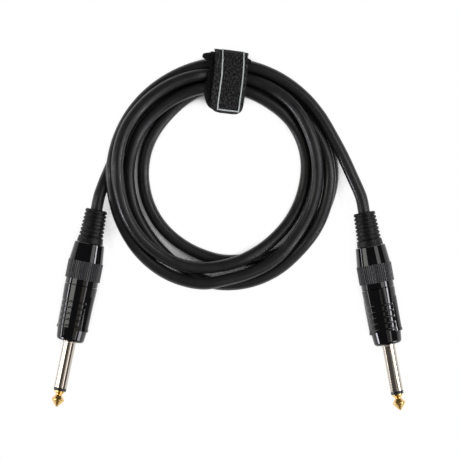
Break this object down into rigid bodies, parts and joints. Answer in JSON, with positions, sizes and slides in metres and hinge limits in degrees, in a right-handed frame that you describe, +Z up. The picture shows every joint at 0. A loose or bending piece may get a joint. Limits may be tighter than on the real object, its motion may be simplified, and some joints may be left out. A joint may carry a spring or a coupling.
{
  "type": "instrument cable",
  "caption": "Coiled black instrument cable with a straight 6.35 mm plug at each end, ribbed boots, knurled screw bushings and a hook-and-loop tie.",
  "frame": {"origin": "on the floor under the middle of the box round both plugs and the tie", "axes": "+Z up from the floor the cable lies on, +Y from the plugs' tips towards the tie, +X towards the right plug"},
  "size_m": [0.1767, 0.1807, 0.0176],
  "materials": {
    "gold_plate": "polished",
    "black_insulator": "moulded",
    "nickel_plate": "polished",
    "ivory_nylon": "extruded",
    "tinned_brass": "stamped and tinned",
    "fibre_washer": "pressed fibre",
    "white_insulation": "extruded",
    "bare_copper": "twisted strands",
    "cable_jacket": "matt extruded",
    "white_nylon": "moulded",
    "black_gloss_metal": "high gloss",
    "satin_knurl": "satin, knurled",
    "boot_rubber": "matt moulded",
    "strap_fabric": "brushed loop",
    "hook_tape": "hook tape",
    "woven_label": "woven satin"
  },
  "bodies": {
    "cable": {"cable_coil": "cable_jacket", "left_lead": "cable_jacket", "right_lead": "cable_jacket", "left_tip": "gold_plate", "left_tip_insulator": "black_insulator", "left_sleeve": "nickel_plate", "left_inner_tube": "ivory_nylon", "left_ground_lug": "tinned_brass", "left_lug_washer": "fibre_washer", "left_tip_lug": "tinned_brass", "left_core_wire": "white_insulation", "left_shield_pigtail": "bare_copper", "left_cable_end": "cable_jacket", "left_chuck": "white_nylon", "right_tip": "gold_plate", "right_tip_insulator": "black_insulator", "right_sleeve": "nickel_plate", "right_inner_tube": "ivory_nylon", "right_ground_lug": "tinned_brass", "right_lug_washer": "fibre_washer", "right_tip_lug": "tinned_brass", "right_core_wire": "white_insulation", "right_shield_pigtail": "bare_copper", "right_cable_end": "cable_jacket", "right_chuck": "white_nylon"},
    "left_boot": {"left_boot": "boot_rubber"},
    "left_bushing": {"left_bushing": "black_gloss_metal", "left_grip_ring": "satin_knurl"},
    "left_shell": {"left_shell": "black_gloss_metal"},
    "right_boot": {"right_boot": "boot_rubber"},
    "right_bushing": {"right_bushing": "black_gloss_metal", "right_grip_ring": "satin_knurl"},
    "right_shell": {"right_shell": "black_gloss_metal"},
    "tie": {"tie_loop": "strap_fabric", "tie_outer_layer": "strap_fabric"},
    "tie_flap": {"tie_flap": "strap_fabric", "tie_hook_patch": "hook_tape", "tie_label": "woven_label"}
  },
  "joints": [
    {"name": "left_boot_slide", "type": "slide", "parent": "cable", "child": "left_boot", "axis": [0.1994, 0.9799, 0], "range_m": [0, 0.005]},
    {"name": "left_bushing_turn", "type": "hinge", "parent": "left_boot", "child": "left_bushing", "pos_m": [-0.07198, -0.0199, 0.0088], "axis": [0.1994, 0.9799, 0], "range_deg": [0, 1800]},
    {"name": "left_shell_slide", "type": "slide", "parent": "cable", "child": "left_shell", "axis": [-0.1994, -0.9799, 0], "range_m": [0, 0.024]},
    {"name": "right_boot_slide", "type": "slide", "parent": "cable", "child": "right_boot", "axis": [-0.1805, 0.9836, 0], "range_m": [0, 0.005]},
    {"name": "right_bushing_turn", "type": "hinge", "parent": "right_boot", "child": "right_bushing", "pos_m": [0.07312, -0.02136, 0.0088], "axis": [-0.1805, 0.9836, 0], "range_deg": [0, 1800]},
    {"name": "right_shell_slide", "type": "slide", "parent": "cable", "child": "right_shell", "axis": [0.1805, -0.9836, 0], "range_m": [0, 0.024]},
    {"name": "tie_slide", "type": "hinge", "parent": "cable", "child": "tie", "pos_m": [-0.0023, 0.0263, 0], "axis": [0, 0, 1], "range_deg": [-20, 20]},
    {"name": "tie_peel", "type": "hinge", "parent": "tie", "child": "tie_flap", "pos_m": [0.0009, 0.08188, 0.0151], "axis": [-0.9914, 0.1305, 0], "range_deg": [0, 90]}
  ],
  "couplings": [
    {"joint": "left_bushing_turn", "follows": "left_boot_slide", "rad_per_m": 6283.2},
    {"joint": "right_bushing_turn", "follows": "right_boot_slide", "rad_per_m": 6283.2}
  ]
}
